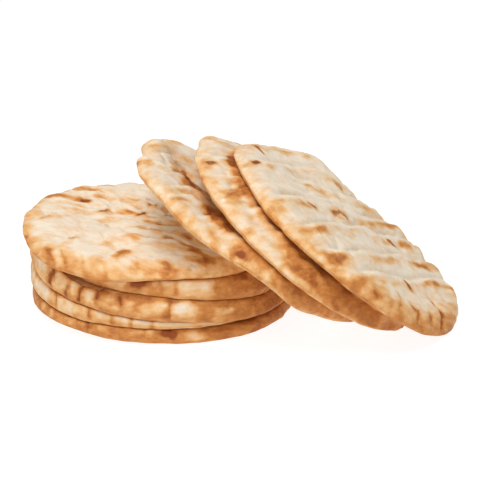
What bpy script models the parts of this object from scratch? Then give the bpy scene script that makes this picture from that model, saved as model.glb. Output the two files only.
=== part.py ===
"""A stack of eight pita breads: five lie flat on each other and three lean on them.

Run with: blender --background --python part.py
Metres, +Z up. The breads stand on the plane z = 0, and the origin is the middle of their footprint.
"""

import math
from dataclasses import dataclass

import bmesh
import bpy
from mathutils import Matrix, Vector, noise

MM = 0.001

# Driving dimensions of a pocketless pita
RADIUS = 85 * MM
THICKNESS = 11.2 * MM  # of a bread that nothing lies on, at its rim
PUFF_TOP = 0.2 * MM  # how far its middle stands proud of the rim's level, above
PUFF_UNDER = 0.3 * MM  # and below
RIM_ROUNDING = 0.07  # share of the radius over which top and underside close round the rim

# How the breads meet
CLEARANCE = 0.8 * MM  # air between two breads that lie on each other
PRESSED_THICKNESS = 5 * MM  # of a stacked bread where the leaning ones press on the stack
PRESSED_BLEND = 5 * MM
CONTACT = 1.0 * MM  # what comes this near to the table is pressed flat on it

# The ridges that the oven belt leaves, as long parallel rolls with narrow grooves between them
RIDGE_PITCH = 17 * MM
RIDGE_DEPTH = 2.6 * MM
RIDGE_WANDER = 5 * MM  # how far a ridge strays from a straight line
WANDER_SPAN = 70 * MM
STRENGTH_SPAN = 45 * MM
LEAST_STRENGTH = 0.3  # of a ridge, where it fades, as a share of its depth
DENT_DEPTH = 1.6 * MM
DENT_SPAN = 24 * MM
UNDERSIDE_RELIEF = 0.25  # share of the relief that the underside has, near its edge
UNDERSIDE_START = 0.7  # share of the radius where that begins
UNDERSIDE_FULL = 0.95  # and where it is whole
PRESSED_START = 0.55  # the same for the top of a bread that another one lies on
PRESSED_FULL = 0.88
STACKED_SEED = 0.37  # where the wander, the grooves and the dents start, so that no two breads match
LEANING_SEED = 0.61

# The mesh that each bread is shaped on, before it is thinned to its triangle budget
SEGMENTS = 150
TOP_RINGS = 34
RIM_RINGS = 10
UNDERSIDE_RINGS = 14
WELD = 1e-5  # on the unit disc, where the spun profile meets itself

# Outlines and heights are given at eight compass points: E, NE, N, NW, W, SW, S, SE.
# A stacked bread lies between two levels, the lower one being the upper one of the bread below.
# Each level is (height at the middle, heights at the rim), in millimetres.
LEVELS = (
    (0, (0, 0, 0, 2, 5, 4, 0.5, 0)),
    (11, (7.5, 10, 12, 14, 15.5, 11, 9, 6.2)),
    (22, (9, 17, 23, 28, 32.5, 21.8, 14.7, 9)),
    (33, (15, 27, 33, 39, 48, 34.8, 29.7, 21.8)),
    (44, (38, 39, 44, 50, 55.5, 41.8, 40.4, 39.3)),
    (55, (41, 50, 55, 61, 63, 56, 53.5, 52)),
)
TABLE_FLAT = 0.6  # the table level is flat out to this share of the radius
LEVEL_POWER = 2.2  # how late a level turns from its middle height to its rim heights


@dataclass
class Bread:
    """Radii in millimetres, the way the ridges run in degrees, and the triangles it may have.

    toast runs from 0 for a pale bread to 1 for a brown one. A bump is (compass degrees, half its
    width in degrees, added radius, added height) in millimetres.
    """

    name: str
    outline: tuple
    ridges: float
    triangles: int
    toast: float
    bumps: tuple = ()


@dataclass
class LeaningBread(Bread):
    """A bread tipped by its slope about its middle (x, y), its lowest point towards the way it faces.

    In its own plane E is the foot, W the raised end and S the side towards the front. The rim's
    heights are over that plane, in millimetres.
    """

    middle: tuple = (0, 0)
    slope: float = 0
    facing: float = 0
    rim: tuple = (0,) * 8


STACKED = (
    Bread("pita_1_bottom", (86.5, 85, 85, 85, 85, 85, 84, 88), 20, 950, 0.6),
    Bread("pita_2", (76, 80, 85, 85, 86.5, 85, 84, 81.5), -50, 950, 0.5),
    Bread("pita_3", (86, 86, 85, 85, 86.5, 86, 86.5, 89), -75, 1100, 0.45),
    Bread("pita_4", (75, 82, 85, 83, 78, 77, 83.5, 88), 65, 1000, 0.4),
    Bread(
        "pita_5_top", (66, 77, 86, 90, 92, 90, 85.5, 84.5), -32, 2200, 0.25,
        bumps=((105, 14, 2, 3), (248, 12, 1.5, -1)),
    ),
)
LEANING = (
    LeaningBread(
        "pita_6_leaning", (88.5, 89, 88.5, 90, 89, 92.5, 90, 86.5), 54, 1600, 0.4,
        bumps=((122, 25, 9, 4), (245, 20, -2, -3), (268, 16, 3.5, 0), (285, 18, 5, -2)),
        middle=(59.4, -16), slope=36.2, facing=5, rim=(1, 0, 0, 0, 0.5, -0.5, 1, -2),
    ),
    LeaningBread(
        "pita_7_leaning", (87, 86, 86.5, 85.5, 87, 84.5, 87, 85), 54, 1600, 0.35,
        middle=(92, -24), slope=38.8, facing=-6, rim=(1, 0, 0.5, -2, 0.5, 0, 0.5, 0),
    ),
    LeaningBread(
        "pita_8_leaning", (89, 90, 90, 90, 88, 88, 89, 90.5), 54, 2200, 0.3,
        bumps=((108, 30, 1, 7),),
        middle=(119.5, -21.5), slope=36.7, facing=2, rim=(3, 5, 5, 3, 3, -2, -4.5, -5),
    ),
)

PALE_CRUST = (0.84, 0.70, 0.52)
BROWN_CRUST = (0.64, 0.40, 0.20)
CRUST_ROUGHNESS = 0.85


def clear_scene():
    for obj in list(bpy.data.objects):
        bpy.data.objects.remove(obj)


def around(values, angle):
    """A smooth closed curve through eight values at the compass points, read at an angle."""
    place = (angle / math.tau * len(values)) % len(values)
    index = int(place)
    t = place - index
    before, start, end, after = (values[(index + k) % len(values)] for k in (-1, 0, 1, 2))
    return 0.5 * (
        2 * start
        + (end - before) * t
        + (2 * before - 5 * start + 4 * end - after) * t ** 2
        + (3 * start - before - 3 * end + after) * t ** 3
    )


def smooth(x):
    """0 to 1 with soft ends, as x goes from 0 to 1."""
    x = min(max(x, 0.0), 1.0)
    return x * x * (3 - 2 * x)


def between(start, full, x):
    return smooth((x - start) / (full - start))


def soft_min(a, b, blend):
    """The smaller of two heights, with the crease between them rounded over the blend."""
    near = max(blend - abs(a - b), 0) / blend
    return min(a, b) - near * near * blend / 4


def tipping(bread):
    """The turn that lays a bread's own plane at its slope."""
    turn = Matrix.Rotation(math.radians(bread.facing), 4, "Z")
    return turn @ Matrix.Rotation(math.radians(bread.slope), 4, "Y")


def pressing_plane(leaning, bread):
    """The plane under a finished leaning bread that the stack has to stay below, as (normal, distance)."""
    normal = tipping(bread) @ Vector((0, 0, 1))
    over_stack = [v.co for v in leaning.data.vertices if math.hypot(v.co.x, v.co.y) < RADIUS]
    return normal, min(normal.dot(place) for place in over_stack)


def height_of(plane, x, y):
    normal, distance = plane
    return (distance - x * normal.x - y * normal.y) / normal.z


def level(index, angle, r, press):
    """Height of a surface between two stacked breads, kept below the plane that presses on them."""
    middle, rim = LEVELS[index]
    share = min(r / RADIUS, 1)
    if index == 0:
        turn = max(share - TABLE_FLAT, 0) ** 2 / (1 - TABLE_FLAT) ** 2
        return (middle + (around(rim, angle) - middle) * turn) * MM
    height = (middle + (around(rim, angle) - middle) * share ** LEVEL_POWER) * MM
    breads_above = len(LEVELS) - 1 - index
    limit = height_of(press, r * math.cos(angle), r * math.sin(angle))
    return soft_min(height, limit - breads_above * PRESSED_THICKNESS, PRESSED_BLEND)


def bump_sum(bread, angle, item):
    """What the bumps of a bread add to its radius (item 2) or its height (item 3) at an angle."""
    total = 0
    for bump in bread.bumps:
        away = abs((math.degrees(angle) - bump[0] + 180) % 360 - 180) / bump[1]
        total += bump[item] * max(1 - away * away, 0) ** 2
    return total


def ridge_height(x, y, direction, seed):
    """0 in a groove and 1 on the crest of a ridge."""
    a = math.radians(direction)
    wander = noise.noise(Vector((x, y, 0)) / WANDER_SPAN + Vector((0, 0, seed)))
    across = -x * math.sin(a) + y * math.cos(a) + RIDGE_WANDER * wander
    from_groove = (across / RIDGE_PITCH + seed) % 1.0
    return math.sin(math.pi * from_groove)


def relief(x, y, direction, seed):
    """How far the crust lies below its smooth form: grooves between ridges, and broad shallow dents."""
    strength = 0.5 + 0.5 * noise.noise(Vector((x, y, 0)) / STRENGTH_SPAN + Vector((0, 0, seed)))
    strength = LEAST_STRENGTH + (1 - LEAST_STRENGTH) * strength
    groove = (1 - ridge_height(x, y, direction, seed)) * RIDGE_DEPTH * strength
    dent = 0.5 + noise.noise(Vector((x, y, 0)) / DENT_SPAN + Vector((0, 0, seed)))
    return groove + DENT_DEPTH * smooth(dent)


def disc_profile():
    """Half section of a unit bread, from the middle of its top round the rim to that of its underside."""
    inner = 1 - RIM_ROUNDING
    points = [(inner * k / TOP_RINGS, 1.0) for k in range(TOP_RINGS)]
    for k in range(RIM_RINGS + 1):
        turn = math.pi * k / RIM_RINGS
        points.append((inner + RIM_ROUNDING * math.sin(turn), math.cos(turn)))
    points += [(inner * k / UNDERSIDE_RINGS, -1.0) for k in reversed(range(UNDERSIDE_RINGS))]
    return points


def spun_disc():
    """The profile spun into a closed disc, in a new bmesh."""
    bm = bmesh.new()
    verts = [bm.verts.new((r, 0, z)) for r, z in disc_profile()]
    edges = [bm.edges.new(pair) for pair in zip(verts, verts[1:])]
    bmesh.ops.spin(
        bm,
        geom=verts + edges,
        cent=(0, 0, 0),
        axis=(0, 0, 1),
        angle=math.tau,
        steps=SEGMENTS,
        use_merge=True,
        use_duplicate=False,
    )
    bmesh.ops.remove_doubles(bm, verts=bm.verts, dist=WELD)
    bmesh.ops.recalc_face_normals(bm, faces=bm.faces)
    return bm


def shape_bread(bm, bread, underside, top, seed, pressed):
    """Turns the unit disc into a bread between two surfaces, each a function of angle and radius.

    pressed is true where another bread lies on this one and has flattened its middle.
    """
    for v in bm.verts:
        angle = math.atan2(v.co.y, v.co.x)
        share = math.hypot(v.co.x, v.co.y)
        r = share * (around(bread.outline, angle) + bump_sum(bread, angle, 2)) * MM
        raised = share ** LEVEL_POWER * bump_sum(bread, angle, 3) * MM
        low, high = underside(angle, r), top(angle, r)
        z = (high + low + v.co.z * (high - low)) / 2 + raised
        v.co = (r * math.cos(angle), r * math.sin(angle), z)
    bm.normal_update()
    moves = []
    for v in bm.verts:
        share = math.hypot(v.co.x, v.co.y) / RADIUS
        facing_up = smooth(0.5 + v.normal.z)
        above = between(PRESSED_START, PRESSED_FULL, share) if pressed else 1
        below = UNDERSIDE_RELIEF * between(UNDERSIDE_START, UNDERSIDE_FULL, share)
        amount = facing_up * above + (1 - facing_up) * below
        moves.append(-v.normal * amount * relief(v.co.x, v.co.y, bread.ridges, seed))
    for v, move in zip(bm.verts, moves):
        v.co += move


def crust_material(bread):
    material = bpy.data.materials.new("crust_" + bread.name)
    material.use_nodes = True
    shader = material.node_tree.nodes["Principled BSDF"]
    colour = [pale + (brown - pale) * bread.toast for pale, brown in zip(PALE_CRUST, BROWN_CRUST)]
    shader.inputs["Base Color"].default_value = (*colour, 1)
    shader.inputs["Roughness"].default_value = CRUST_ROUGHNESS
    return material


def finish_bread(bread, bm):
    """Thins the bread to its triangle budget and lets it settle on the table where it reaches it."""
    bmesh.ops.triangulate(bm, faces=bm.faces)
    mesh = bpy.data.meshes.new(bread.name)
    bm.to_mesh(mesh)
    bm.free()
    obj = bpy.data.objects.new(bread.name, mesh)
    bpy.context.scene.collection.objects.link(obj)
    thin = obj.modifiers.new("thin", "DECIMATE")
    thin.ratio = bread.triangles / len(mesh.polygons)
    bpy.context.view_layer.update()
    evaluated = obj.evaluated_get(bpy.context.evaluated_depsgraph_get())
    obj.data = bpy.data.meshes.new_from_object(evaluated)
    obj.modifiers.clear()
    bpy.data.meshes.remove(mesh)
    obj.data.name = bread.name
    for v in obj.data.vertices:
        if v.co.z < CONTACT:
            v.co.z = 0
    obj.data.materials.append(crust_material(bread))
    obj.data.shade_smooth()
    return obj


def make_stacked(index, bread, press):
    """One of the flat breads, between two levels with half the clearance at each."""
    air = CLEARANCE / 2
    lift = 0 if index == 0 else air
    bm = spun_disc()
    shape_bread(
        bm,
        bread,
        lambda angle, r: level(index, angle, r, press) + lift,
        lambda angle, r: level(index + 1, angle, r, press) - air,
        seed=index + STACKED_SEED,
        pressed=index < len(STACKED) - 1,
    )
    return finish_bread(bread, bm)


def make_leaning(index, bread):
    """One of the leaning breads, shaped in its own plane, then tipped and stood on its edge."""
    def bend(angle, r):
        return around(bread.rim, angle) * MM * (r / RADIUS) ** LEVEL_POWER

    def puff(r):
        return max(1 - (r / RADIUS) ** 2, 0)

    bm = spun_disc()
    shape_bread(
        bm,
        bread,
        lambda angle, r: bend(angle, r) - THICKNESS / 2 - PUFF_UNDER * puff(r),
        lambda angle, r: bend(angle, r) + THICKNESS / 2 + PUFF_TOP * puff(r),
        seed=index + LEANING_SEED,
        pressed=False,
    )
    bmesh.ops.transform(bm, matrix=tipping(bread), verts=bm.verts)
    foot = min(v.co.z for v in bm.verts)
    place = (bread.middle[0] * MM, bread.middle[1] * MM, -foot - CONTACT)
    bmesh.ops.translate(bm, vec=place, verts=bm.verts)
    return finish_bread(bread, bm)


def centre_on_origin(breads):
    """Moves all the breads so that the middle of their footprint is at the origin."""
    corners = [v.co for obj in breads for v in obj.data.vertices]
    middle_x = (min(c.x for c in corners) + max(c.x for c in corners)) / 2
    middle_y = (min(c.y for c in corners) + max(c.y for c in corners)) / 2
    for obj in breads:
        obj.data.transform(Matrix.Translation((-middle_x, -middle_y, 0)))


def main():
    clear_scene()
    leaning = [make_leaning(index, bread) for index, bread in enumerate(LEANING, len(STACKED))]
    press = pressing_plane(leaning[0], LEANING[0])
    stacked = [make_stacked(index, bread, press) for index, bread in enumerate(STACKED)]
    centre_on_origin(stacked + leaning)


main()
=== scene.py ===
# %% [markdown]
# # A stack of pita breads
#
# Eight soft, pocketless flatbreads: five lie flat on each other and three lean on their side, fanned
# like cards. The construction is already settled in the frame, so this lesson only gives each bread
# its skin: the rolls that the oven belt leaves, the toasted patches, and a dry, floury crust.

import math
import time

import bmesh
import bpy
import numpy as np
from mathutils import Matrix, Vector, noise
from mathutils.bvhtree import BVHTree


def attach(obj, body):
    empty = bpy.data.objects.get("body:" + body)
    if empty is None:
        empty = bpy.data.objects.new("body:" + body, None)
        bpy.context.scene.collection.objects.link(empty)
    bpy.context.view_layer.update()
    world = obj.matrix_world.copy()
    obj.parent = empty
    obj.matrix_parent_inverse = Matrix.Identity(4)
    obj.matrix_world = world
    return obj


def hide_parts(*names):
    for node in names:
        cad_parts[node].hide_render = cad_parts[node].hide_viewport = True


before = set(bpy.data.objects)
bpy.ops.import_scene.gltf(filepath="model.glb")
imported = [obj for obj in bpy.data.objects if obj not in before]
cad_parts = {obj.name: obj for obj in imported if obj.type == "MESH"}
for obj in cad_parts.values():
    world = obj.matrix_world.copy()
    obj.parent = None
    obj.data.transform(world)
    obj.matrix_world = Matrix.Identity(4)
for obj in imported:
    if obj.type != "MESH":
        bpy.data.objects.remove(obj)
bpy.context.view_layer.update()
MM = 0.001
started = time.time()
print("solid breads:", sorted(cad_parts))

# %% [markdown]
# ## The camera
#
# The photograph looks down on the table by 18 degrees from about 90 cm away, through a long lens.
# The camera comes first, because the marks on the crust are placed through it: each one is named by
# where it shows in the 480 x 480 photograph and is then laid on the bread that it belongs to.

# %% Stand the camera
PHOTO_SIZE = 480  # pixels across and down
CAMERA_DISTANCE = 900 * MM
CAMERA_PITCH = math.radians(18)
LENS = 102.41
SENSOR = 36.0
PILE_MIDDLE_IN_VIEW = Vector((0.42, 11.92, 40.94)) * MM

look = Vector((0, math.cos(CAMERA_PITCH), -math.sin(CAMERA_PITCH)))


def add_object(name, data):
    """A new object, linked to the scene."""
    obj = bpy.data.objects.new(name, data)
    bpy.context.scene.collection.objects.link(obj)
    return obj


camera_data = bpy.data.cameras.new("photo_camera")
camera_data.lens = LENS
camera_data.sensor_width = SENSOR
camera = add_object("photo_camera", camera_data)
camera.location = PILE_MIDDLE_IN_VIEW - look * CAMERA_DISTANCE
camera.rotation_euler = (math.pi / 2 - CAMERA_PITCH, 0, 0)
bpy.context.scene.camera = camera
print("camera at", [round(c, 3) for c in camera.location])


def line_of_sight(x, y):
    """From the camera through a pixel of the photograph."""
    half = SENSOR / 2 / LENS
    right = Vector((1, 0, 0))
    up = right.cross(look)
    across = (x / PHOTO_SIZE - 0.5) * 2 * half
    down = (y / PHOTO_SIZE - 0.5) * 2 * half
    return (look + right * across - up * down).normalized()


# %% [markdown]
# ## The form of one bread
#
# The frame's solids have flat facets. A skin could be made by smoothing a copy of them, but that
# also melts the round rim. So each solid is measured instead: rays find how far it reaches in every
# direction and how high its two faces lie, and a smooth surface is fitted through what they found.
# A fine disc, spun from half a section, then takes that form.

# %% Measure a solid in its own plane
STACKED = ("pita_1_bottom", "pita_2", "pita_3", "pita_4", "pita_5_top")
LEANING = ("pita_6_leaning", "pita_7_leaning", "pita_8_leaning")
PRESSED = STACKED[:-1]  # the breads that lie under the pile's top one
DIRECTIONS = 180
RAY_START = 0.1  # m above or below a bread's own plane
RIM_FROM, RIM_TO, HALVINGS = 0.03, 0.12, 14  # the search for the rim, in m from the middle
RIM_SHARE = 0.07  # of the radius, where the two faces close round the rim
FIT_ORDER = 8
FIT_RADIUS = 0.09  # m, which the fit counts as 1
FIT_AREA = (0.001, 0.87)  # from and to what share of a face's area the fit takes its spots
FIT_RINGS = 24


def own_plane(name):
    """The matrix from a bread's own plane, in which it lies flat, to the frame's axes."""
    corners = np.array([v.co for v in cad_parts[name].data.vertices])
    if name in STACKED:
        normal = Vector((0, 0, 1))
    else:
        spread = np.cov((corners - corners.mean(0)).T)
        normal = Vector(np.linalg.eigh(spread)[1][:, 0])
        normal *= math.copysign(1, normal.z)
    downhill = Vector((1, 0, 0)) if name in STACKED else Vector((*normal.xy, 0)).normalized()
    x_axis = (downhill - normal * downhill.dot(normal)).normalized()
    turn = Matrix((x_axis, normal.cross(x_axis), normal)).transposed()
    flat = corners @ np.array(turn)
    middle = Vector((flat.min(0) + flat.max(0)) / 2)
    return Matrix.Translation(turn @ middle) @ turn.to_4x4()


def in_plane(name, plane):
    """A tree for casting rays at a solid, in its own plane."""
    bm = bmesh.new()
    bm.from_mesh(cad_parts[name].data)
    bmesh.ops.remove_doubles(bm, verts=bm.verts, dist=1e-6)
    bmesh.ops.transform(bm, matrix=plane.inverted(), verts=bm.verts)
    tree = BVHTree.FromBMesh(bm)
    bm.free()
    return tree


def faces_at(tree, x, y):
    """Heights of the two faces over a point of the plane, or None outside the bread."""
    top = tree.ray_cast(Vector((x, y, RAY_START)), Vector((0, 0, -1)))[0]
    under = tree.ray_cast(Vector((x, y, -RAY_START)), Vector((0, 0, 1)))[0]
    return None if top is None else (top.z, under.z)


def reach(tree, angle):
    """How far the bread goes in one direction, found by halving."""
    inside, outside = RIM_FROM, RIM_TO
    for _ in range(HALVINGS):
        middle = (inside + outside) / 2
        if faces_at(tree, middle * math.cos(angle), middle * math.sin(angle)):
            inside = middle
        else:
            outside = middle
    return inside


def powers(x, y):
    """Columns of x and y in all mixed powers up to the order of the fit, scaled to about one."""
    x, y = np.asarray(x) / FIT_RADIUS, np.asarray(y) / FIT_RADIUS
    return np.stack([x ** i * y ** j
                     for i in range(FIT_ORDER + 1) for j in range(FIT_ORDER + 1 - i)], -1)


class Form:
    """The smooth form of one bread: its outline and the heights of its faces."""

    def __init__(self, name):
        self.plane = own_plane(name)
        tree = in_plane(name, self.plane)
        self.angles = np.arange(DIRECTIONS) / DIRECTIONS * math.tau
        self.outline = np.array([reach(tree, a) for a in self.angles])
        spots = [(share * r * math.cos(a), share * r * math.sin(a))
                 for a, r in zip(self.angles[::3], self.outline[::3])
                 for share in np.sqrt(np.linspace(*FIT_AREA, FIT_RINGS))]
        found = np.array([(x, y, *faces_at(tree, x, y)) for x, y in spots])
        columns = powers(found[:, 0], found[:, 1])
        self.top_fit = np.linalg.lstsq(columns, found[:, 2], rcond=None)[0]
        self.under_fit = np.linalg.lstsq(columns, found[:, 3], rcond=None)[0]
        self.miss = np.abs(columns @ self.top_fit - found[:, 2]).mean()

    def radius(self, angle):
        return np.interp(angle, self.angles, self.outline, period=math.tau)


forms = {name: Form(name) for name in STACKED + LEANING}
for name, form in forms.items():
    print(f"{name}: {form.outline.min() * 1000:.1f} to {form.outline.max() * 1000:.1f} mm from its middle,"
          f" faces fitted to {form.miss * 1000:.2f} mm")
print(f"measured after {time.time() - started:.1f} s")

# %% [markdown]
# ## The skin
#
# Half a section of a bread, flat below, tight at its lower edge and with a wide round shoulder
# above, is spun into a closed disc about a millimetre fine. Its points then take the measured form,
# and the soft rim bulges, draws in and curls where the photograph's outlines do.

# %% Spin a fine disc and give it a bread's form
SPOKES = 400
TOP_RINGS, SHOULDER_RINGS, EDGE_RINGS, UNDERSIDE_RINGS = 66, 22, 8, 18
SHOULDER_SHARE = 0.15  # of the radius, over which the top rounds down to the widest place
WIDEST = -0.45  # where that is, from -1 at the underside to 1 at the top
EDGE_SHARE = 0.045  # of the radius, over which the widest place turns in to the underside


def half_section():
    """A baked bread is flat below, tight at its lower edge and has a wide round shoulder above."""
    points = [((1 - SHOULDER_SHARE) * k / TOP_RINGS, 1.0) for k in range(TOP_RINGS)]
    for k in range(SHOULDER_RINGS + 1):
        turn = math.pi / 2 * k / SHOULDER_RINGS
        points.append((1 - SHOULDER_SHARE * (1 - math.sin(turn)), WIDEST + (1 - WIDEST) * math.cos(turn)))
    for k in range(1, EDGE_RINGS + 1):
        turn = math.pi / 2 * k / EDGE_RINGS
        points.append((1 - EDGE_SHARE * (1 - math.cos(turn)), WIDEST - (1 + WIDEST) * math.sin(turn)))
    inner = 1 - EDGE_SHARE
    return points + [(inner * k / UNDERSIDE_RINGS, -1.0) for k in reversed(range(UNDERSIDE_RINGS))]


def spun_disc():
    """A closed disc of radius 1, from -1 to 1 in height."""
    bm = bmesh.new()
    verts = [bm.verts.new((r, 0, z)) for r, z in half_section()]
    edges = [bm.edges.new(pair) for pair in zip(verts, verts[1:])]
    bmesh.ops.spin(bm, geom=verts + edges, cent=(0, 0, 0), axis=(0, 0, 1), angle=math.tau,
                   steps=SPOKES, use_merge=True, use_duplicate=False)
    bmesh.ops.remove_doubles(bm, verts=bm.verts, dist=1e-5)
    bmesh.ops.recalc_face_normals(bm, faces=bm.faces)
    mesh = bpy.data.meshes.new("fine_disc")
    bm.to_mesh(mesh)
    bm.free()
    return mesh


fine_disc = spun_disc()
print("fine disc:", len(fine_disc.vertices), "points")


def read(mesh, what):
    """The points ("co") or the normals ("normal") of a mesh."""
    flat = np.empty(len(mesh.vertices) * 3, np.float32)
    mesh.vertices.foreach_get(what, flat)
    return flat.reshape(-1, 3).astype(float)


def write_points(mesh, points):
    mesh.vertices.foreach_set("co", points.astype(np.float32).ravel())
    mesh.update()


def smooth_step(start, full, x):
    """0 up to the start, 1 from the full value on, and an even S between."""
    t = np.clip((np.asarray(x) - start) / (full - start), 0, 1)
    return t * t * (3 - 2 * t)


def bell(x, width):
    """1 at 0, falling evenly to both sides."""
    return np.exp(-(x / width) ** 2)


DISC = read(fine_disc, "co")
SHARE = np.hypot(DISC[:, 0], DISC[:, 1])
ANGLE = np.arctan2(DISC[:, 1], DISC[:, 0])
INNER = 1 - RIM_SHARE
UPPER = DISC[:, 2] > WIDEST + 0.01

# The pressed breads' rims are fuller, and widest near half their height
FULL_SHOULDER = 0.08
FULL_WIDEST = -0.12
ON_FACE = SHARE / (1 - SHOULDER_SHARE) * (1 - FULL_SHOULDER)
ON_SHOULDER = 1 - (1 - SHARE) * FULL_SHOULDER / SHOULDER_SHARE
FULL_SHARE = np.where(UPPER, np.where(SHARE < 1 - SHOULDER_SHARE, ON_FACE, ON_SHOULDER), SHARE)
FULL_LEVEL = np.interp(DISC[:, 2], (-1, WIDEST, 1), (-1, FULL_WIDEST, 1))

# Slopes of the faces at the rim
SLOPE_STEP = 0.05  # of the radius, over which a slope is measured
SLOPE_KEPT = 0.6  # share of the slope with which a face goes on past the fitted part

# How far a rim goes past the solid's facets all round, in mm
GROWTH = {"pita_5_top": 0.3, "pita_6_leaning": 0.9, "pita_7_leaning": 0.9, "pita_8_leaning": 1.7}
# Where a rim bulges or draws in: (direction and spread in degrees, amount in mm)
SWELLS = {"pita_1_bottom": ((208, 32, 1.8),), "pita_2": ((200, 30, 1.2),),
          "pita_5_top": ((160, 24, -3.6), (190, 20, -1.4), (92, 36, 3.0)),
          "pita_6_leaning": ((138, 24, 5.0), (174, 19, -4.6), (208, 19, 3.4)),
          "pita_7_leaning": ((134, 26, 6.0), (180, 20, -2.4)),
          "pita_8_leaning": ((158, 16, -2.8), (72, 46, 2.4), (345, 40, -1.6))}
# Where a rim curls up or droops: (direction and spread in degrees, rise in mm, and the share of the
# radius where it starts)
CURLS = {"pita_3": ((216, 42, 5.0, 0.82),),
         "pita_5_top": ((195, 34, -2.6, 0.72), (78, 40, 1.8, 0.6)),
         "pita_6_leaning": ((145, 20, 2.6, 0.75),),
         "pita_7_leaning": ((142, 20, 1.4, 0.75),)}
CURL_FULL = 0.98  # of the radius, where a curl has its whole rise


def around(degrees):
    """How many degrees each point lies round the rim from a direction."""
    return np.degrees(np.abs((ANGLE - math.radians(degrees) + math.pi) % math.tau - math.pi))


def grown(name):
    """How much further than the solid's facets the soft rim goes, all round and where it bulges."""
    more = np.full(len(ANGLE), GROWTH.get(name, 0) * MM)
    for degrees, spread, swell in SWELLS.get(name, ()):
        more += swell * MM * bell(around(degrees), spread)
    return more


def formed(name):
    """The fine disc's points in a bread's own plane, on its smooth form."""
    form = forms[name]
    radius = form.radius(ANGLE)
    share, level = (FULL_SHARE, FULL_LEVEL) if name in PRESSED else (SHARE, DISC[:, 2])

    def heights(part_way, fit):
        r = part_way * radius
        return powers(r * np.cos(ANGLE), r * np.sin(ANGLE)) @ fit

    def carried_to_rim(fit):
        edge = heights(np.minimum(share, INNER), fit)
        before = heights(np.minimum(share, INNER - SLOPE_STEP), fit)
        return edge + (edge - before) / SLOPE_STEP * np.maximum(share - INNER, 0) * SLOPE_KEPT

    top, under = carried_to_rim(form.top_fit), carried_to_rim(form.under_fit)
    z = (top + under + level * (top - under)) / 2
    for degrees, spread, rise, start in CURLS.get(name, ()):
        moved = 1 if rise < 0 else (DISC[:, 2] + 1) / 2  # the underside stays when a rim curls up
        z = z + rise * MM * bell(around(degrees), spread) * smooth_step(start, CURL_FULL, SHARE) * moved
    r = share * (radius + grown(name))
    return np.stack([r * np.cos(ANGLE), r * np.sin(ANGLE), z], -1)


# %% [markdown]
# ## Marks on the crust
#
# The oven belt presses the dough into long rolls. Each roll is steep on its far side and gentle on
# its near side, and its crest is the first thing to brown. Where the photograph shows a roll, a
# toasted patch, a scorched spot or a pinch in the rim, it is one stroke of a brush: points of the
# photograph, in pixels, which are dropped on the bread along the line of sight. Everything that the
# photograph doesn't show gets the same kinds of marks from noise.

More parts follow.
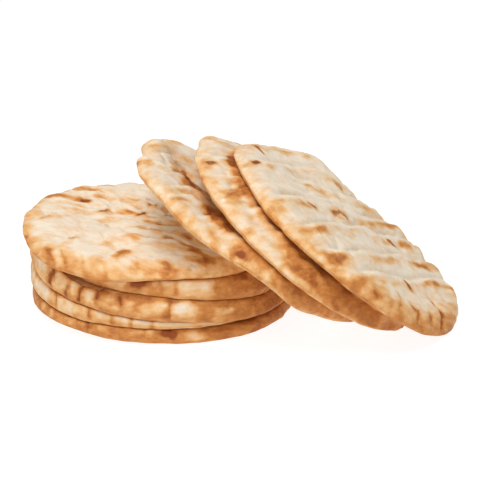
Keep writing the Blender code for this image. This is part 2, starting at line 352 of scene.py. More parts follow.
# %% List the strokes that the photograph shows
# A stroke is (kind, half its width in mm, strength, its points in the photograph). A pinch is a
# toasted groove in the rim, and a dent a hollow that keeps its colour. Some toast and char strokes
# are painted shade where one bread shades another, and are marked as such.
STROKES = {
    "pita_8_leaning": (
        ("roll", 5, 0.6, (256, 146), (264, 149), (276, 150), (294, 153), (310, 158)),
        ("roll", 5, 0.5, (247, 165), (256, 163), (267, 166), (285, 168), (302, 171), (316, 173), (328, 179),
         (345, 189)),
        ("roll", 6, 1.0, (308, 186), (322, 191), (328, 195), (340, 198), (353, 204), (365, 208), (380, 214)),
        ("roll", 6, 1.0, (277, 202), (291, 201), (303, 202), (314, 205), (331, 211), (345, 214), (357, 220),
         (368, 223), (382, 225), (396, 226)),
        ("roll", 6, 1.0, (287, 235), (296, 229), (310, 231), (322, 229), (338, 228), (350, 232), (362, 231),
         (374, 238), (389, 241), (398, 244), (414, 245)),
        ("roll", 6, 0.9, (306, 255), (316, 252), (328, 256), (340, 255), (353, 258), (368, 256), (383, 260),
         (398, 259), (412, 264), (421, 266), (436, 266)),
        ("roll", 6, 0.9, (349, 278), (362, 281), (375, 277), (385, 280), (404, 284), (414, 287), (429, 283),
         (444, 285), (454, 291)),
        ("dent", 4, 1.8, (361, 202), (366, 204)),
        ("dent", 4, 2.0, (379, 219), (384, 221)),
        ("dent", 4, 2.0, (406, 240), (412, 242)),
        ("dent", 4, 1.8, (425, 261), (430, 264)),
        ("dent", 4, 1.6, (447, 282), (451, 285)),
        ("toast", 8, 0.3, (360, 286), (378, 288)),
        ("toast", 7, 0.25, (288, 238), (318, 236), (338, 236)),
        ("toast", 7, 0.22, (282, 210), (305, 212)),
        ("toast", 3, 0.5, (338, 186), (341, 188)),
        ("toast", 5, 0.4, (336, 262), (346, 258)),
        ("toast", 10, 0.5, (408, 320), (424, 327), (440, 328), (450, 318)),
        ("toast", 14, 0.22, (392, 300), (425, 312), (444, 305)),
        ("toast", 6, 0.6, (296, 258), (330, 285), (352, 302)),
        ("toast", 5, 0.3, (266, 222), (284, 244)),
        ("toast", 4, 0.4, (362, 209), (378, 215)),
        ("toast", 4, 0.4, (384, 226), (399, 228)),
        ("toast", 4, 0.4, (436, 286), (452, 292)),
        ("toast", 3, 0.8, (402, 244), (410, 247)),
        ("toast", 3, 0.8, (417, 265), (436, 266)),
        ("char", 1.6, 0.6, (338, 260), (342, 257)),
        ("char", 1.3, 0.4, (333, 263)),
        ("char", 1.2, 0.9, (254, 163), (258, 162)),
        ("char", 1.1, 0.4, (246, 166), (250, 165)),
        ("char", 1.0, 1.0, (257, 147), (263, 153)),
        ("char", 1.2, 0.7, (334, 213), (340, 212), (347, 218)),
        ("char", 0.9, 0.9, (388, 240), (396, 247)),
        ("char", 0.8, 0.8, (308, 202), (315, 207)),
        ("char", 1.2, 0.55, (336, 184), (342, 190)),
        ("char", 0.9, 0.8, (405, 281), (410, 288)),
        ("char", 1.0, 0.6, (374, 291), (378, 296)),
        ("char", 1.2, 0.5, (418, 265), (426, 267)),
        ("pinch", 2.4, 1.0, (412, 306), (418, 312), (417, 323)),
        ("pinch", 2.0, 0.8, (429, 312), (431, 322)),
        ("pinch", 2.4, 1.4, (433, 303), (440, 312), (441, 328)),
        ("pinch", 2.0, 0.4, (397, 292), (401, 300), (399, 310)),
    ),
    "pita_7_leaning": (
        ("roll", 5, 0.5, (203, 139), (210, 139), (219, 142), (232, 147)),
        ("roll", 5, 0.6, (199, 158), (206, 159), (213, 162), (222, 160)),
        ("roll", 5, 0.5, (202, 180), (212, 181), (225, 179), (235, 184), (242, 190)),
        ("roll", 5, 0.5, (213, 197), (228, 193), (236, 191), (246, 198)),
        ("roll", 5, 0.5, (226, 217), (240, 214), (252, 215)),
        ("roll", 5, 0.6, (247, 240), (262, 238), (274, 240)),
        ("roll", 5, 0.7, (283, 268), (297, 267), (307, 270), (314, 279)),
        ("roll", 4, 0.5, (312, 292), (324, 291), (338, 300)),
        ("toast", 4, 0.8, (234, 201), (237, 199)),
        ("toast", 3, 0.6, (229, 193), (236, 192)),
        ("toast", 3, 0.5, (204, 180), (212, 182)),
        ("toast", 3, 0.5, (199, 164), (202, 172)),
        ("toast", 3, 0.7, (247, 232)),
        ("toast", 3, 0.5, (283, 249), (287, 252)),
        ("toast", 5, 0.5, (300, 270), (308, 277), (303, 284)),
        ("toast", 4, 0.6, (334, 306), (350, 312)),
        # painted shade: the shadow along the seam under pita_8_leaning
        ("toast", 6, 0.45, (266, 222), (294, 250), (319, 272), (349, 297), (368, 313)),
        ("char", 1.5, 0.7, (209, 163), (213, 162)),
        ("char", 2.0, 0.8, (231, 157), (232, 165)),
        ("char", 1.4, 0.4, (236, 174), (240, 184), (245, 191)),
        ("char", 1.6, 0.5, (230, 193), (235, 191)),
        ("char", 1.8, 0.5, (312, 273), (314, 282)),
        ("char", 1.5, 0.5, (334, 301), (336, 310)),
        ("char", 1.5, 0.4, (298, 269), (305, 271)),
    ),
    "pita_6_leaning": (
        ("roll", 5, 0.7, (139, 162), (150, 162), (158, 165)),
        ("roll", 5, 0.9, (159, 144), (168, 148), (175, 153), (184, 156)),
        ("roll", 4, 0.5, (156, 156), (167, 158), (176, 162)),
        ("roll", 5, 0.6, (172, 190), (186, 191), (196, 197)),
        ("roll", 5, 0.5, (171, 199), (188, 200)),
        ("roll", 5, 0.5, (196, 221), (214, 222), (224, 228)),
        ("roll", 5, 0.5, (222, 247), (240, 246), (256, 252)),
        ("dent", 8, 4.0, (184, 170), (192, 179), (200, 186)),
        # painted shade: the soft shadow in the hollow of the upper end
        ("toast", 8, 0.45, (178, 158), (190, 164)),
        # painted shade: the shadow along the seam under pita_7_leaning
        ("toast", 6, 0.45, (240, 246), (264, 270), (290, 293), (312, 307)),
        ("toast", 4, 0.8, (176, 170), (188, 176), (194, 186)),
        ("toast", 4, 0.4, (181, 204), (182, 211)),
        ("toast", 3, 0.35, (175, 191), (186, 191)),
        ("toast", 3, 0.6, (215, 244), (217, 240)),
        ("toast", 3, 0.5, (212, 230)),
        ("toast", 3, 0.6, (140, 162), (150, 163)),
        ("toast", 3, 0.4, (142, 178), (146, 187)),
        ("toast", 3, 0.4, (163, 143), (178, 143)),
        ("char", 1.6, 0.6, (175, 171), (184, 173)),
        ("char", 1.8, 0.8, (187, 177), (193, 186)),
        ("char", 1.6, 0.8, (209, 210), (215, 218)),
        ("char", 1.7, 1.0, (240, 254), (242, 256)),
        ("char", 1.0, 0.4, (174, 199), (187, 200)),
        ("char", 2.2, 0.7, (227, 226), (229, 230)),
    ),
    "pita_5_top": (
        ("roll", 5, 0.7, (44, 194), (51, 195), (66, 196), (79, 200), (89, 201), (101, 203), (116, 208),
         (128, 210)),
        ("roll", 5, 0.7, (69, 190), (81, 188), (95, 190), (108, 190), (121, 194)),
        ("roll", 5, 0.7, (116, 200), (125, 200), (138, 200), (153, 205), (165, 211)),
        ("roll", 5, 0.6, (66, 208), (78, 210), (92, 213), (104, 211), (108, 218), (122, 219)),
        ("roll", 5, 0.8, (128, 212), (134, 213), (148, 216), (162, 222), (183, 223)),
        ("roll", 5, 0.7, (136, 226), (148, 229), (159, 231), (176, 231), (187, 237), (205, 244)),
        ("roll", 5, 0.7, (138, 240), (154, 243), (170, 245), (187, 250), (199, 253)),
        ("roll", 4, 0.6, (38, 213), (43, 220), (55, 216), (64, 216)),
        ("roll", 5, 0.5, (106, 243), (116, 238), (127, 235), (142, 235)),
        ("roll", 5, 0.6, (112, 258), (120, 252), (128, 251)),
        ("roll", 5, 0.5, (60, 246), (71, 240), (77, 237)),
        ("roll", 3, 0.8, (134, 206), (146, 208), (160, 215)),
        ("roll", 3, 0.8, (146, 221), (160, 225), (176, 226)),
        ("roll", 3, 0.8, (152, 236), (166, 238), (180, 242), (192, 247)),
        ("roll", 3, 0.7, (86, 195), (98, 196), (110, 199)),
        ("roll", 3, 0.7, (60, 202), (74, 205), (86, 207)),
        ("roll", 3, 0.7, (100, 206), (112, 212), (122, 214)),
        ("toast", 4, 0.5, (192, 256), (202, 260)),
        ("toast", 5, 0.5, (142, 264), (156, 266), (164, 270)),
        ("toast", 2, 0.7, (150, 205), (166, 211)),
        ("toast", 2, 0.7, (140, 226), (158, 231)),
        ("toast", 2, 0.7, (176, 240), (196, 249)),
        ("toast", 2, 0.7, (96, 196), (112, 199)),
        ("toast", 3, 0.6, (118, 255), (124, 252)),
        ("toast", 3, 0.5, (110, 240), (122, 237), (138, 236)),
        ("toast", 3, 0.7, (52, 195), (66, 196), (78, 200)),
        ("toast", 3, 0.6, (74, 189), (94, 190)),
        ("toast", 3, 0.6, (126, 200), (150, 204)),
        ("toast", 3, 0.5, (79, 210), (104, 212)),
        ("toast", 3, 0.6, (104, 220), (116, 219)),
        ("toast", 3, 0.5, (162, 231), (176, 231), (186, 236)),
        ("toast", 3, 0.5, (156, 243), (170, 245)),
        ("toast", 3, 0.5, (40, 214), (56, 216)),
        ("toast", 3, 0.5, (68, 250), (72, 262)),
        ("toast", 3, 0.5, (46, 252), (52, 263)),
        ("toast", 3, 0.5, (94, 258), (96, 266)),
        ("char", 0.9, 0.5, (166, 238), (172, 239)),
        ("char", 1.0, 0.7, (102, 211), (107, 210)),
        ("char", 0.9, 0.5, (166, 215), (171, 216)),
        ("char", 0.9, 0.5, (150, 204), (156, 206)),
        ("char", 0.9, 0.5, (70, 238), (74, 237)),
        ("char", 1.3, 0.9, (105, 184), (109, 184)),
        ("char", 1.2, 0.9, (83, 201), (87, 201)),
        ("char", 1.3, 1.0, (140, 215), (143, 214)),
        ("char", 1.3, 0.5, (190, 251), (199, 251), (206, 256), (208, 263)),
        ("char", 2.0, 0.35, (197, 257), (203, 260)),
        ("char", 1.8, 0.5, (166, 264), (167, 272)),
        ("char", 1.0, 0.5, (117, 256), (121, 252), (125, 251)),
        ("char", 1.0, 0.4, (184, 236), (190, 239)),
        ("char", 0.9, 0.4, (42, 218), (50, 216)),
        ("pinch", 2.0, 0.5, (25, 230), (27, 238)),
        ("pinch", 2.0, 0.5, (48, 250), (52, 262)),
        ("pinch", 2.0, 0.5, (61, 250), (66, 266)),
        ("pinch", 2.0, 0.5, (82, 258), (84, 272)),
        ("pinch", 2.0, 0.4, (104, 264), (106, 277)),
        ("pinch", 2.0, 0.4, (137, 258), (138, 268)),
    ),
    "pita_4": (
        # painted shadow of pita_6_leaning on the right of the rim
        ("toast", 11, 0.75, (246, 287), (262, 285)),
        ("toast", 3, 0.5, (130, 286), (145, 288)),
        ("toast", 4, 0.4, (222, 286), (232, 285)),
        ("char", 1.6, 0.9, (133, 284), (142, 284)),
        ("char", 1.4, 0.6, (236, 278), (244, 277)),
        # painted shadow of pita_6_leaning, darkening the same place
        ("char", 6, 0.42, (258, 284), (266, 283)),
        ("pale", 4, 0.8, (185, 288), (200, 287)),
        ("pinch", 1.8, 0.5, (160, 283), (160, 291)),
        ("pinch", 1.8, 0.5, (176, 284), (176, 292)),
        ("pinch", 1.8, 0.5, (216, 282), (217, 290)),
    ),
    "pita_3": (
        ("toast", 5, 0.8, (200, 309), (214, 308)),
        ("toast", 4, 0.7, (238, 303), (250, 297)),
        ("toast", 3, 0.6, (140, 308), (160, 312)),
        # painted shadow of pita_6_leaning on the right of the rim
        ("toast", 12, 0.9, (250, 305), (272, 299)),
        ("char", 1.2, 0.36, (53, 273), (50, 281)),
        ("char", 1.0, 0.26, (68, 288), (66, 294)),
        ("char", 1.2, 0.38, (82, 289), (79, 298)),
        ("char", 1.2, 0.38, (102, 291), (98, 297)),
        ("char", 1.1, 0.32, (120, 299), (121, 305)),
        # painted shadow of pita_6_leaning, darkening the same place
        ("char", 6, 0.42, (260, 301), (276, 295)),
        ("char", 1.4, 0.5, (130, 294), (148, 297)),
        ("char", 1.4, 0.5, (166, 300), (176, 300)),
        ("pale", 4, 0.9, (180, 309), (192, 309)),
        ("pale", 3, 0.8, (148, 310), (156, 311)),
        ("pale", 4, 0.9, (222, 307), (230, 305)),
        ("pale", 3, 0.6, (90, 296)),
        ("pale", 5, 0.6, (38, 262), (42, 276)),
        ("pale", 4, 0.6, (60, 285)),
        ("pinch", 2.4, 1.1, (53, 271), (50, 282)),
        ("pinch", 2.0, 0.8, (68, 286), (66, 295)),
        ("pinch", 2.4, 1.1, (82, 287), (79, 300)),
        ("pinch", 2.4, 1.2, (102, 290), (97, 298)),
        ("pinch", 2.4, 0.9, (120, 297), (121, 307)),
        ("pinch", 2.2, 0.8, (170, 303), (169, 317)),
    ),
    "pita_2": (
        ("pale", 3, 0.3, (60, 308), (72, 312)),
        ("pale", 4, 0.5, (38, 290), (44, 298)),
        ("pinch", 2.0, 0.8, (57, 296), (56, 304)),
        ("pinch", 2.0, 0.7, (89, 308), (89, 316)),
        ("pinch", 1.8, 0.6, (112, 316), (112, 322)),
        ("pinch", 1.8, 0.6, (131, 320), (131, 326)),
        ("pinch", 1.8, 0.6, (152, 320), (152, 327)),
    ),
    "pita_1_bottom": (
        # painted shadow of pita_6_leaning on the right of the rim
        ("toast", 12, 0.9, (236, 327), (256, 320), (276, 309)),
        ("char", 1.9, 1.0, (167, 333), (173, 334)),
        # painted shadow of pita_6_leaning, darkening the same place
        ("char", 6, 0.42, (256, 320), (280, 307)),
        ("char", 1.4, 0.5, (87, 323), (90, 326)),
        ("pale", 4, 0.6, (196, 334), (210, 331)),
        ("pale", 3, 0.6, (152, 334), (158, 334)),
        ("pinch", 2.2, 0.7, (41, 295), (40, 304)),
        ("pinch", 2.0, 0.8, (89, 320), (88, 330)),
        ("pinch", 2.4, 0.9, (170, 329), (170, 338)),
        ("pinch", 2.0, 0.5, (145, 328), (145, 337)),
        ("pinch", 2.0, 0.5, (123, 328), (123, 336)),
    ),
}
print("strokes:", sum(len(strokes) for strokes in STROKES.values()))

# %% [markdown]
# ## From the photograph to the bread
#
# A ray through each point of a stroke meets the bread, and every point of the skin is then told how
# far it lies across the stroke and how far past its ends. Where the modelled rim falls short of the
# photographed one, the nearest pixel that still meets the bread is taken.

# %% Drop a stroke on its bread
SEARCH_PIXELS = 6
SEARCH_WAYS = np.arange(8) * math.tau / 8


def surface_tree(points):
    """A tree over the fine disc's faces with its points moved, for casting rays."""
    faces = [tuple(p.vertices) for p in fine_disc.polygons]
    return BVHTree.FromPolygons([tuple(p) for p in points], faces)


def dropped(stroke_points, tree, plane):
    """Where the line of sight through each point meets the bread, in the bread's own plane."""
    back = plane.inverted()
    origin = back @ camera.location
    turn = back.to_3x3()
    hits = []
    for x, y in stroke_points:
        for off in range(SEARCH_PIXELS + 1):
            tries = [line_of_sight(x + off * math.cos(a), y + off * math.sin(a))
                     for a in (SEARCH_WAYS if off else SEARCH_WAYS[:1])]
            found = [h for h in (tree.ray_cast(origin, turn @ ray)[0] for ray in tries) if h]
            if found:
                hits.append(found[0])
                break
    return np.array(hits)


def near_stroke(points, line):
    """Signed distance across a stroke, above 0 on its near side, and distance past its ends."""
    if len(line) == 1:
        return np.zeros(len(points)), np.linalg.norm(points - line[0], axis=1)
    nearest = np.full(len(points), np.inf)
    across = np.zeros(len(points))
    for a, b in zip(line, line[1:]):
        along = b - a
        t = np.clip((points - a) @ along / max(along @ along, 1e-12), 0, 1)
        away = points - a - t[:, None] * along
        distance = np.linalg.norm(away, axis=1)
        side = (away[:, 0] * along[1] - away[:, 1] * along[0]) / max(math.hypot(along[0], along[1]), 1e-6)
        tie = np.abs(distance - nearest) < 1e-7
        closer = (distance < nearest) & ~tie | tie & (np.abs(side) > np.abs(across))
        nearest = np.where(closer, distance, nearest)
        across = np.where(closer, side, across)
    return across, np.sqrt(np.maximum(nearest ** 2 - across ** 2, 0))


# %% [markdown]
# ## Relief and toast
#
# Each bread gets two things at every point of its skin: how far the crust stands out, and how brown
# it is. Rolls and grooves come from the strokes, and from noise where there are none. The dough
# also has broad dents, blisters about a centimetre wide and small wrinkles. Toast follows the relief,
# because what stands out touches the heat first. Crust under the edge of another bread is browned
# as painted shade, which stands for the shadow in the seam.

# %% Work out the relief, the toast and the painted shade of one bread
ROLL_HEIGHT = 2.9 * MM
PINCH_DEPTH = 0.9 * MM
STANDS_PROUD = 1.2 * MM  # what the measured middle height lacks up to the crests
# Rolls from noise
BELT_PITCH = 17 * MM
BELT_HEIGHT = 1.7 * MM
BELT_MIDDLE = 0.6  # of the way from groove to crest, the part that stays level
# Height and span of the other noise in the relief
DENT_HEIGHT, DENT_SPAN = 0.8 * MM, 24 * MM
BLISTER_HEIGHT, BLISTER_SPAN = 0.8 * MM, 10 * MM
CREASE_DEPTH, CREASE_SPAN = 1.0 * MM, 17 * MM
WRINKLE_HEIGHT, WRINKLE_SPAN = 0.32 * MM, 5 * MM
# The belt's direction on each bread, in degrees. Where it doesn't show, each bread is turned further
BELT_DIRECTION = {"pita_5_top": -32, "pita_8_leaning": 54, "pita_7_leaning": 54, "pita_6_leaning": 54}
HIDDEN_BELT, TURNED_FURTHER = 20, 50
GRAIN_SHARE = 0.5
# How far the open rims are rounded down, in mm
SHOULDER = {"pita_5_top": 1.2, "pita_8_leaning": 0.5, "pita_7_leaning": 0.5, "pita_6_leaning": 0.5}
FRONT_RIM = smooth_step(0.78, 0.93, SHARE) * smooth_step(-0.1, 0.35, -np.sin(ANGLE))
RIM_TOAST = {"pita_5_top": 0.64, "pita_8_leaning": 0.4, "pita_7_leaning": 0.32, "pita_6_leaning": 0.32,
             "pita_1_bottom": 1.1, "pita_2": 0.5, "pita_3": 0.64, "pita_4": 0.68}
# How strongly crust under the bread above is browned as painted shade for the seam, by bread and otherwise
SEAM_SHADE = {"pita_5_top": 0.3, "pita_7_leaning": 0.95}
USUAL_SEAM_SHADE = 0.85


def grain_of(name, points):
    """A bread's points along and across the belt, drawn together along it, so that marks are long."""
    a = math.radians(BELT_DIRECTION.get(name, HIDDEN_BELT))
    along = points[:, 0] * math.cos(a) + points[:, 1] * math.sin(a)
    across = points[:, 1] * math.cos(a) - points[:, 0] * math.sin(a)
    return np.stack([along * GRAIN_SHARE, across, points[:, 2]], -1)


def noise_at(points, span, seed):
    """Smooth noise, about -1 to 1, with lumps of a span."""
    shifted = points / span + np.array((seed * 7.3, seed * 3.1, seed * 5.7))
    return np.array([noise.noise(p) for p in shifted.tolist()])


def blot(x, width):
    """1 inside a spot, falling over a fairly sharp edge."""
    return 1 - smooth_step(0.45, 1.35, x / width)


def roll_profile(across, width):
    """A roll's cross section: gentle on the near side, steep on the far side, then a groove."""
    body = np.where(across > 0, bell(across, 1.5 * width), bell(across, 0.55 * width))
    return body - 0.75 * bell(across + 0.95 * width, 0.38 * width)


def belt_rolls(points, direction, seed):
    """Rolls from noise: how far each point is on the way from groove to crest, 0 to 1."""
    a = math.radians(direction)
    wander = noise_at(points * (1, 1, 0), 60 * MM, seed)
    across = -points[:, 0] * math.sin(a) + points[:, 1] * math.cos(a) + 6 * MM * wander
    phase = (across / BELT_PITCH + seed) % 1
    return np.sin(math.pi * phase ** 1.5)


def roll_toast(across, width, ragged):
    """Toast starts sharply on the steep side of a crest and fades down the gentle side."""
    return np.where(across > -0.15 * width, bell(across, 0.62 * width * ragged),
                    bell(across + 0.15 * width, 0.25 * width))


def strokes_on(name, kinds, points):
    """The strokes of some kinds on a bread, each with its distances to all points."""
    tree = surface_tree(points)
    for kind, width, amount, *pixels in STROKES.get(name, ()):
        if kind not in kinds:
            continue
        line = dropped(pixels, tree, forms[name].plane)
        if len(line):
            across, past = near_stroke(points, line)
            yield kind, width * MM, amount, across, past


def upward(normals):
    """1 where the skin faces up, 0 where it faces down."""
    return smooth_step(-0.3, 0.6, normals[:, 2])


def near_side(name):
    """1 along the rim towards the camera, 0.3 along the far rim of the flat pile's top bread."""
    if name in LEANING:
        return np.ones(len(ANGLE))
    return 0.3 + 0.7 * smooth_step(-0.3, 0.5, -np.sin(ANGLE))


def shape_relief(name, index, points, normals):
    """How far the crust stands out at each point, in metres, and how near that is to a belt crest."""
    seed = index + 1.0
    facing = upward(normals)
    open_top = facing * smooth_step(0.8, 0.95, SHARE) if name in PRESSED else facing
    calm_rim = 1 - 0.85 * FRONT_RIM
    strength = smooth_step(-0.35, 0.5, noise_at(points, 45 * MM, seed + 20)) * calm_rim
    relief = np.zeros(len(points))
    covered = np.zeros(len(points))
    for kind, width, amount, across, past in strokes_on(name, ("roll", "dent", "pinch"), points):
        if kind == "roll":
            shape = roll_profile(across, width) * bell(past, 2 * width)
            relief += ROLL_HEIGHT * amount * shape * calm_rim
            covered = np.maximum(covered, bell(np.hypot(across, past), 3 * width))
        elif kind == "dent":
            relief -= amount * MM * bell(np.hypot(across, past), width)
        else:
            relief -= PINCH_DEPTH * amount * bell(across, 0.45 * width) * bell(past, width)
    crest = belt_rolls(points, BELT_DIRECTION.get(name, HIDDEN_BELT + TURNED_FURTHER * index), seed)
    belt = strength * (1 - 0.85 * covered)
    relief += (crest - BELT_MIDDLE) * BELT_HEIGHT * belt * open_top
    relief += DENT_HEIGHT * noise_at(points, DENT_SPAN, seed + 70) * open_top * calm_rim
    blisters = np.maximum(noise_at(points, BLISTER_SPAN, seed + 50), -0.3)
    relief += BLISTER_HEIGHT * blisters * (0.3 + 0.7 * open_top)
    creases = bell(noise_at(points, CREASE_SPAN, seed + 33), 0.14)
    creases *= smooth_step(-0.2, 0.3, noise_at(points, 30 * MM, seed + 44))
    relief -= CREASE_DEPTH * creases * open_top * calm_rim
    relief += WRINKLE_HEIGHT * noise_at(points, WRINKLE_SPAN, seed + 40) * (0.5 + 0.5 * open_top)
    if name not in PRESSED:
        relief += STANDS_PROUD * smooth_step(-0.6, 0.2, normals[:, 2])
        relief -= SHOULDER[name] * MM * smooth_step(0.74, 0.98, SHARE) * facing * near_side(name)
    return relief, crest * belt


def toast_and_shade_crust(name, index, points, normals, crest, seam_shade_mask):
    """How toasted and how scorched the crust is at each point, with painted shade added in the seams, on
    faces that look down and in some strokes.
    """
    seed = index + 1.0
    grain = grain_of(name, points)
    patches = noise_at(grain, 14 * MM, seed + 30)
    small = noise_at(grain, 5 * MM, seed + 90)
    ragged = 1 + 0.5 * small + 0.3 * noise_at(points, 3 * MM, seed + 60)
    toast = np.zeros(len(points))
    char = np.zeros(len(points))
    pale = np.zeros(len(points))
    kinds = ("roll", "toast", "char", "pale", "pinch")
    for kind, width, amount, across, past in strokes_on(name, kinds, points):
        distance = np.hypot(across, past)
        if kind == "roll":
            browned = roll_toast(across, width, ragged) * bell(past, 1.3 * width)
            broken = 0.5 + 1.2 * smooth_step(-0.4, 0.5, patches + 0.5 * small)
            toast += 0.5 * amount * browned * broken * (1 - 0.6 * FRONT_RIM)
        elif kind == "toast":
            toast += 0.6 * amount * blot(distance, 1.5 * width * ragged)
        elif kind == "char":
            char += amount * blot(distance, 1.7 * width * ragged)
            toast += 0.6 * amount * blot(distance, 3.4 * width * ragged)
        elif kind == "pale":
            pale += 0.45 * amount * blot(distance, 1.5 * width * ragged)
        else:
            toast += 0.75 * amount * bell(across, 0.9 * width * ragged) * bell(past, 1.2 * width)
            char += 0.65 * amount * bell(across, 0.5 * width * ragged) * bell(past, width)
    rim = smooth_step(0.84, 0.99, SHARE)
    if name in LEANING:
        rim = rim * (1 + 0.5 * smooth_step(0, 0.7, np.cos(ANGLE)))
    toast += rim * RIM_TOAST[name] * (0.95 + 0.15 * patches + 0.3 * small)
    toast += 0.4 * smooth_step(0.5, 0.95, crest) * (0.4 + patches)
    toast += 0.16 * smooth_step(-0.1, 0.6, patches + 0.6 * small)
    # Painted shade: faces that look down get less light, and are browned to stand for it
    toast += (1 - upward(normals)) * 0.36
    # Painted shade: crust under the edge of the bread above is browned, standing for the shadow in the seam
    seam_shade = seam_shade_mask * smooth_step(0.3, 0.9, DISC[:, 2]) if name in PRESSED else seam_shade_mask
    toast += SEAM_SHADE.get(name, USUAL_SEAM_SHADE) * seam_shade * (0.85 + 0.5 * patches + 0.4 * small)
    char += 0.35 * smooth_step(0.55, 0.75, noise_at(points, 11 * MM, seed + 80))
    return np.clip(toast - pale, 0, 1.2), np.clip(char, 0, 1)


# %% [markdown]
# ## Baked crust
#
# Pale crust is dry and floury, toasted crust is tan and a little smoother, and scorched spots are
# dark red brown. The two numbers that each point carries choose the colour, and noise breaks their
# edges up at the scale of crumbs and pores. It is drawn out along the belt, as the marks are. Both
# numbers also carry painted shade: brown in the seams, on faces that look down and in a few strokes
# where one bread shades another.

# %% Mix the crust's material
PALE = (0.815, 0.710, 0.570)
CREAM = (0.795, 0.620, 0.435)
TAN = (0.750, 0.440, 0.185)
ORANGE = (0.590, 0.235, 0.055)
BROWN = (0.330, 0.095, 0.018)
SCORCHED = (0.270, 0.058, 0.005)
STOPS = ((0.0, PALE), (0.16, CREAM), (0.42, TAN), (0.68, ORANGE), (0.95, BROWN))
TOAST_AND_SHADE_IN_COLOUR = 0.62
MOTTLE_SPAN, MOTTLE = 6 * MM, 0.6
CRUMB_SPAN, CRUMBS = 2.2 * MM, 0.36
CHAR_FROM, CHAR_FULL = 0.2, 0.85
ROUGH_PALE, ROUGH_TOASTED = 0.82, 0.58
PORE_SPAN, PIT_SPAN, PITS = 1.1 * MM, 3.5 * MM, 1.5
PORE_DEPTH, PORE_STRENGTH = 0.5 * MM, 0.5
UNDER_COLOUR, OVER_COLOUR, MIXED_COLOUR = 6, 7, 2  # the colour sockets of a Mix node


def crust(name, seed):
    """Baked crust. The seed moves its noise, so that no two breads have the same."""
    material = bpy.data.materials.new(name)
    material.use_nodes = True
    nodes, links = material.node_tree.nodes, material.node_tree.links
    shader = nodes["Principled BSDF"]

    def add(kind, **values):
        node = nodes.new(kind)
        for key, value in values.items():
            setattr(node, key, value)
        return node

    def combined(a, b, operation="ADD"):
        node = add("ShaderNodeMath", operation=operation)
        for socket, value in zip(node.inputs, (a, b)):
            if isinstance(value, float):
                socket.default_value = value
            else:
                links.new(value, socket)
        return node.outputs[0]

    grain = add("ShaderNodeAttribute", attribute_name="grain").outputs["Vector"]
    mapping = add("ShaderNodeMapping")
    mapping.inputs["Location"].default_value = (seed, seed * 0.7, 0)
    links.new(grain, mapping.inputs["Vector"])

    def noise_of(span, detail=3.0):
        node = add("ShaderNodeTexNoise")
        node.inputs["Scale"].default_value = 1 / span
        node.inputs["Detail"].default_value = detail
        links.new(mapping.outputs[0], node.inputs["Vector"])
        return node.outputs["Fac"]

    # The toast and char attributes hold real toasting and scorching, and painted shade as well
    toast = add("ShaderNodeAttribute", attribute_name="toast").outputs["Fac"]
    char = add("ShaderNodeAttribute", attribute_name="char").outputs["Fac"]
    mottle = combined(combined(noise_of(MOTTLE_SPAN), -0.5), MOTTLE, "MULTIPLY")
    crumbs = combined(combined(noise_of(CRUMB_SPAN), -0.5), CRUMBS, "MULTIPLY")
    browned = combined(toast, TOAST_AND_SHADE_IN_COLOUR, "MULTIPLY")
    level = combined(combined(browned, mottle), crumbs)

    ramp = add("ShaderNodeValToRGB")
    ramp.color_ramp.elements.remove(ramp.color_ramp.elements[1])
    ramp.color_ramp.elements[0].color = (*PALE, 1)
    for position, colour in STOPS[1:]:
        ramp.color_ramp.elements.new(position).color = (*colour, 1)
    links.new(level, ramp.inputs["Fac"])

    charred = add("ShaderNodeMix", data_type="RGBA")
    soft = add("ShaderNodeMapRange")
    soft.inputs["From Min"].default_value = CHAR_FROM
    soft.inputs["From Max"].default_value = CHAR_FULL
    links.new(combined(char, combined(crumbs, mottle)), soft.inputs["Value"])
    links.new(soft.outputs[0], charred.inputs["Factor"])
    links.new(ramp.outputs["Color"], charred.inputs[UNDER_COLOUR])
    charred.inputs[OVER_COLOUR].default_value = (*SCORCHED, 1)
    links.new(charred.outputs[MIXED_COLOUR], shader.inputs["Base Color"])

    rough = add("ShaderNodeMapRange")
    rough.inputs["To Min"].default_value = ROUGH_PALE
    rough.inputs["To Max"].default_value = ROUGH_TOASTED
    links.new(level, rough.inputs["Value"])
    links.new(rough.outputs[0], shader.inputs["Roughness"])
    shader.inputs["Specular IOR Level"].default_value = 0.3
    shader.inputs["Subsurface Weight"].default_value = 0.12
    shader.inputs["Subsurface Radius"].default_value = (1.0, 0.55, 0.3)
    shader.inputs["Subsurface Scale"].default_value = 3 * MM

    pores = combined(noise_of(PORE_SPAN, 4.0), combined(noise_of(PIT_SPAN), PITS, "MULTIPLY"))
    bump = add("ShaderNodeBump")
    bump.inputs["Strength"].default_value = PORE_STRENGTH
    bump.inputs["Distance"].default_value = PORE_DEPTH
    links.new(pores, bump.inputs["Height"])
    links.new(bump.outputs[0], shader.inputs["Normal"])
    return material


# %% [markdown]
# ## Laid on each other
#
# Soft breads sink together. The breads are shaped from the front leaning one down to the lowest, so
# that each can feel for the undersides of the two above it: it rises towards them where the solids
# leave air, and is pressed down where it would reach into them.

# %% Make the breads
AIR = 0.3 * MM  # left between two breads
FEEL = 10 * MM  # how far below its surface a bread's rays start
SNUG_FROM, SNUG_TO = 1.5 * MM, 12 * MM  # dough fills gaps up to the first, and none above the second
COVER_REACH = 16 * MM  # the widest gap that still counts as covered
LIFT_ROUNDS, SEAM_SHADE_ROUNDS = 24, 9
EDGES = np.array([tuple(edge.vertices) for edge in fine_disc.edges])


def softened(values, rounds):
    """Values of the disc's points, averaged with their neighbours again and again."""
    a, b = EDGES.T
    count = len(values)
    neighbours = np.bincount(EDGES.ravel(), minlength=count)
    for _ in range(rounds):
        total = np.bincount(a, values[b], count) + np.bincount(b, values[a], count)
        values = (values + total / neighbours) / 2
    return values


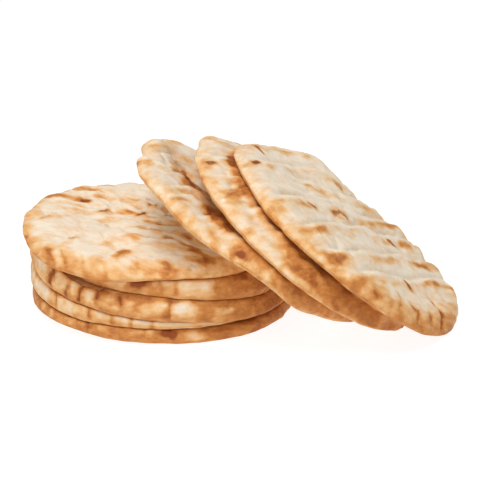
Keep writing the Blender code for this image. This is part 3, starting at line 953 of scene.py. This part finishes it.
def snug(points, up, above):
    """Lifts a bread's upper side towards the bread that lies on it, and says what that one covers: the mask
    for the painted seam shade.
    """
    gap = np.full(len(points), np.inf)
    for i in np.nonzero(UPPER)[0]:
        start = Vector(points[i]) - up * FEEL
        found = [tree.ray_cast(start, up, FEEL + COVER_REACH)[3] for tree in above]
        gap[i] = min((distance - FEEL for distance in found if distance is not None), default=np.inf)
    covered = gap < np.inf
    lift = np.where(covered, np.maximum(gap, 0), 0)
    lift *= 1 - smooth_step(SNUG_FROM, SNUG_TO, lift)
    lift = softened(lift, LIFT_ROUNDS)
    return points + lift[:, None] * np.array(up), softened(covered * 1.0, SEAM_SHADE_ROUNDS)


def keep_clear(points, up, above):
    """Presses a bread's upper side down wherever it would reach the underside of a bread above."""
    for i in np.nonzero(UPPER)[0]:
        for tree in above:
            start = Vector(points[i]) - up * FEEL
            hit = tree.ray_cast(start, up, FEEL + AIR)[0]
            if hit:
                points[i] = hit - up * AIR
    return points


class Shape:
    """One bread's shaped skin. Its mesh is in the frame's axes, and flat holds its points in the
    bread's own plane."""

    def __init__(self, name, index, above):
        self.name, self.index = name, index
        self.mesh = fine_disc.copy()
        self.mesh.name = name + "_skin"
        points = formed(name)
        write_points(self.mesh, points)
        self.normals = read(self.mesh, "normal")
        relief, self.crest = shape_relief(name, index, points, self.normals)
        points = points + self.normals * relief[:, None]
        world = np.array(forms[name].plane)
        points = points @ world[:3, :3].T + world[:3, 3]
        up = Vector(world[:3, 2])
        points, self.seam_shade_mask = snug(points, up, above)
        points = keep_clear(points, up, above)
        points[:, 2] = np.maximum(points[:, 2], 0)  # the table
        self.flat = (points - world[:3, 3]) @ world[:3, :3]
        write_points(self.mesh, points)
        self.tree = surface_tree(points)


def make_skin(shape):
    """The finished skin of one bread, in the frame's axes."""
    name, index, mesh = shape.name, shape.index, shape.mesh
    toast, char = toast_and_shade_crust(name, index, shape.flat, shape.normals, shape.crest, shape.seam_shade_mask)
    for attribute, values in (("toast", toast), ("char", char)):
        layer = mesh.attributes.new(attribute, "FLOAT", "POINT")
        layer.data.foreach_set("value", values.astype(np.float32))
    layer = mesh.attributes.new("grain", "FLOAT_VECTOR", "POINT")
    layer.data.foreach_set("vector", grain_of(name, shape.flat).astype(np.float32).ravel())
    mesh.shade_smooth()
    piece = add_object(name + "_skin", mesh)
    mesh.materials.append(crust("crust_of_" + name, index * 0.31))
    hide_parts(name)
    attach(piece, "root")
    return piece


shapes = []
for index, name in reversed(list(enumerate(STACKED + LEANING))):
    shapes.append(Shape(name, index, [shape.tree for shape in shapes[-2:]]))
print(f"shaped after {time.time() - started:.1f} s")
breads = [make_skin(shape) for shape in shapes]
print(f"{len(breads)} skins after {time.time() - started:.1f} s")

# %% [markdown]
# ## Table and light
#
# The photograph is a bright studio picture on white. A large floor that glows white and an even
# white world give that. A broad lamp nearly overhead, a little to the camera's side, gives the rolls
# their shade, and two weak ones fill the front and the left.

# %% Lay the floor and hang the lights
FLOOR_REACH = 6  # m from the middle
FLOOR_GREY, FLOOR_GLOW, FLOOR_ROUGHNESS = 0.2, 0.88, 0.9
WORLD_WHITE, WORLD_GLOW = (1, 0.99, 0.98, 1), 0.5
LAMPS = {  # place in m, size in m, power in W
    "key": ((-0.15, -0.45, 1.3), 0.7, 10.8),
    "fill": ((-0.15, -1.25, 0.35), 0.8, 1.8),
    "left fill": ((-0.95, -0.8, 0.45), 0.9, 1.8),
}
LAMPS_AIM_AT = Vector((0, 0, 0.04))

bm = bmesh.new()
bmesh.ops.create_grid(bm, x_segments=1, y_segments=1, size=FLOOR_REACH)
floor_mesh = bpy.data.meshes.new("floor")
bm.to_mesh(floor_mesh)
bm.free()
floor = add_object("floor", floor_mesh)
white = bpy.data.materials.new("floor_white")
white.use_nodes = True
paint = white.node_tree.nodes["Principled BSDF"].inputs
paint["Base Color"].default_value = (FLOOR_GREY, FLOOR_GREY, FLOOR_GREY, 1)
paint["Emission Color"].default_value = (1, 1, 1, 1)
paint["Emission Strength"].default_value = FLOOR_GLOW
paint["Roughness"].default_value = FLOOR_ROUGHNESS
floor_mesh.materials.append(white)

world = bpy.data.worlds.new("studio")
world.use_nodes = True
background = world.node_tree.nodes["Background"].inputs
background["Color"].default_value = WORLD_WHITE
background["Strength"].default_value = WORLD_GLOW
bpy.context.scene.world = world

for name, (place, size, power) in LAMPS.items():
    light = bpy.data.lights.new(name, "AREA")
    light.size = size
    light.energy = power
    lamp = add_object(name, light)
    lamp.location = place
    lamp.rotation_euler = (LAMPS_AIM_AT - Vector(place)).to_track_quat("-Z", "Y").to_euler()
bpy.context.scene.view_settings.view_transform = "Standard"
print("lamps:", ", ".join(LAMPS))
